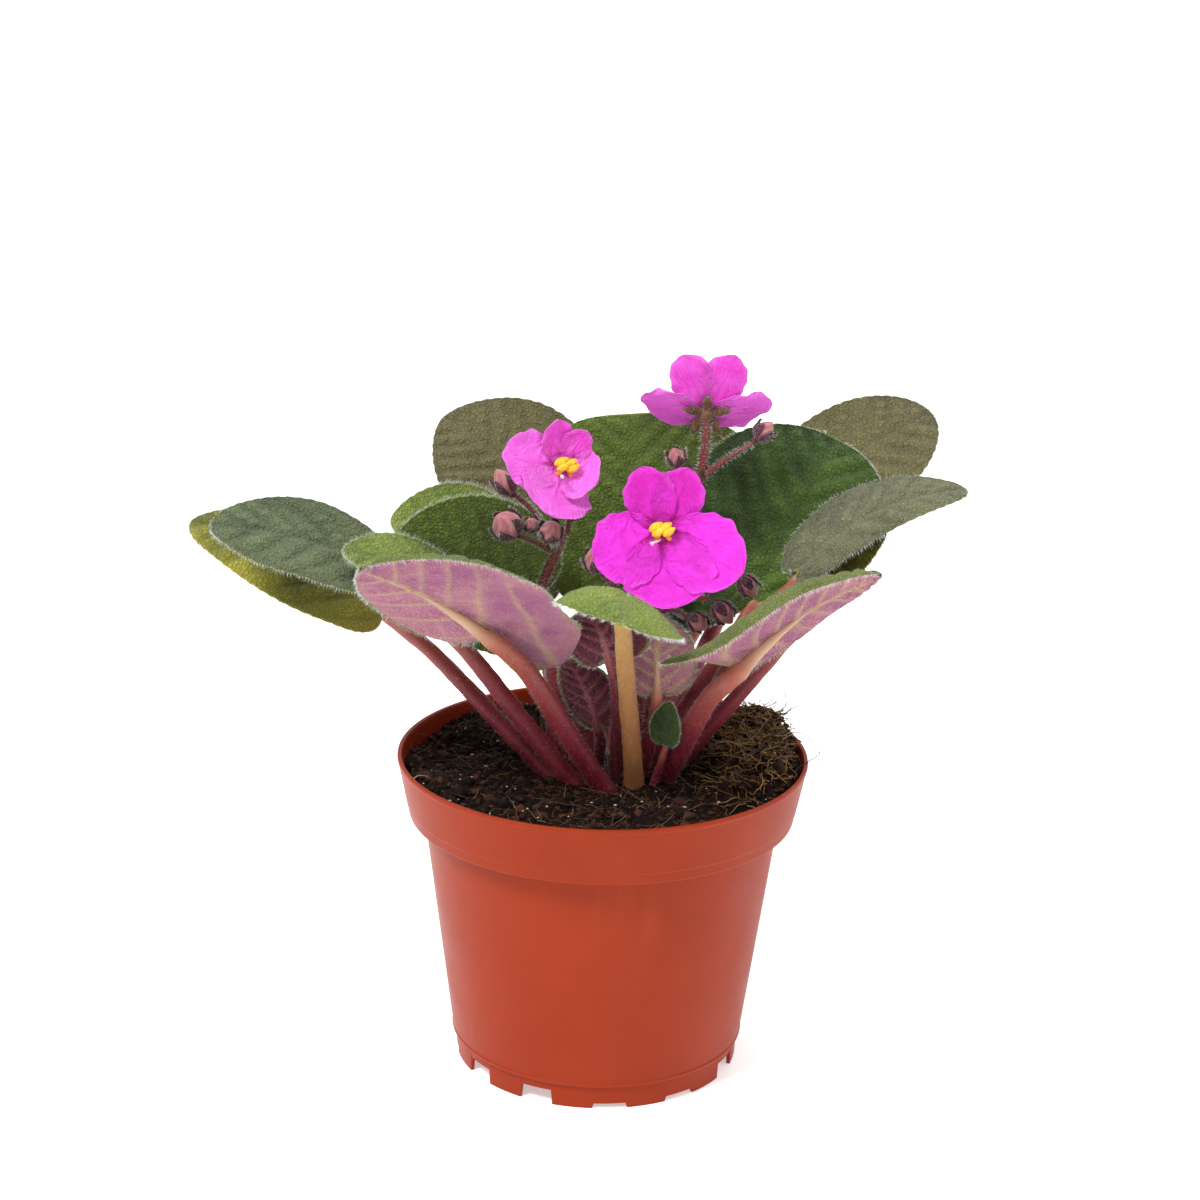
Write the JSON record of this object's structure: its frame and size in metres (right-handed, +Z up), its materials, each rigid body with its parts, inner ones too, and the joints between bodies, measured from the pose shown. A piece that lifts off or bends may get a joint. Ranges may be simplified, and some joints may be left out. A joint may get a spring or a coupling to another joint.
{
  "type": "potted african violet",
  "caption": "Flowering African violet in a round plastic nursery pot: a rosette of thick hairy leaves on fleshy stalks, magenta-pink flowers and buds, peat in the pot.",
  "frame": {"origin": "middle of the object's bounding box at its base, level with the feet of the pot; the pot's own axis stands 10 mm to +X and 12 mm to -Y of it", "axes": "+Z up; +X to the right when the pot is seen from the front, +Y away from the front"},
  "size_m": [0.222, 0.158, 0.2087],
  "materials": {
    "pot": "smooth moulded terracotta-coloured plastic",
    "soil": "moist peat with coir fibre",
    "crown": "short woody stem",
    "leaf": "velvety, hairy, mauve underneath",
    "stalk": "fleshy and hairy",
    "petal": "soft satin petal",
    "sepal": "hairy",
    "anther": "waxy",
    "pistil": "smooth",
    "bud": "hairy closed bud"
  },
  "bodies": {
    "root": {"bud_front_left": "bud", "bud_front_low": "bud", "bud_front_middle": "bud", "bud_front_right": "bud", "bud_left_large": "bud", "bud_left_middle": "bud", "bud_left_small": "bud", "bud_left_top": "bud", "bud_rear_left": "bud", "bud_rear_right": "bud", "crown": "crown", "flower_front_anthers": "anther", "flower_front_petals": "petal", "flower_front_pistil": "pistil", "flower_front_sepals": "sepal", "flower_left_anthers": "anther", "flower_left_petals": "petal", "flower_left_pistil": "pistil", "flower_left_sepals": "sepal", "flower_rear_anthers": "anther", "flower_rear_petals": "petal", "flower_rear_pistil": "pistil", "flower_rear_sepals": "sepal", "leaf_back_left": "leaf", "leaf_back_middle": "leaf", "leaf_back_right": "leaf", "leaf_front_left": "leaf", "leaf_front_middle": "leaf", "leaf_front_right": "leaf", "leaf_inner_left": "leaf", "leaf_inner_purple": "leaf", "leaf_inner_right": "leaf", "leaf_left_high": "leaf", "leaf_left_low": "leaf", "leaf_left_tucked": "leaf", "leaf_midleft_front": "leaf", "leaf_midleft_rear": "leaf", "leaf_rear_left": "leaf", "leaf_rear_middle": "leaf", "leaf_rear_right": "leaf", "leaf_right_high": "leaf", "leaf_right_low": "leaf", "leaf_right_upright": "leaf", "leaf_young_front": "leaf", "leaf_young_rear": "leaf", "pot": "pot", "soil": "soil", "stalk_front": "stalk", "stalk_left": "stalk", "stalk_rear": "stalk"}
  },
  "joints": []
}
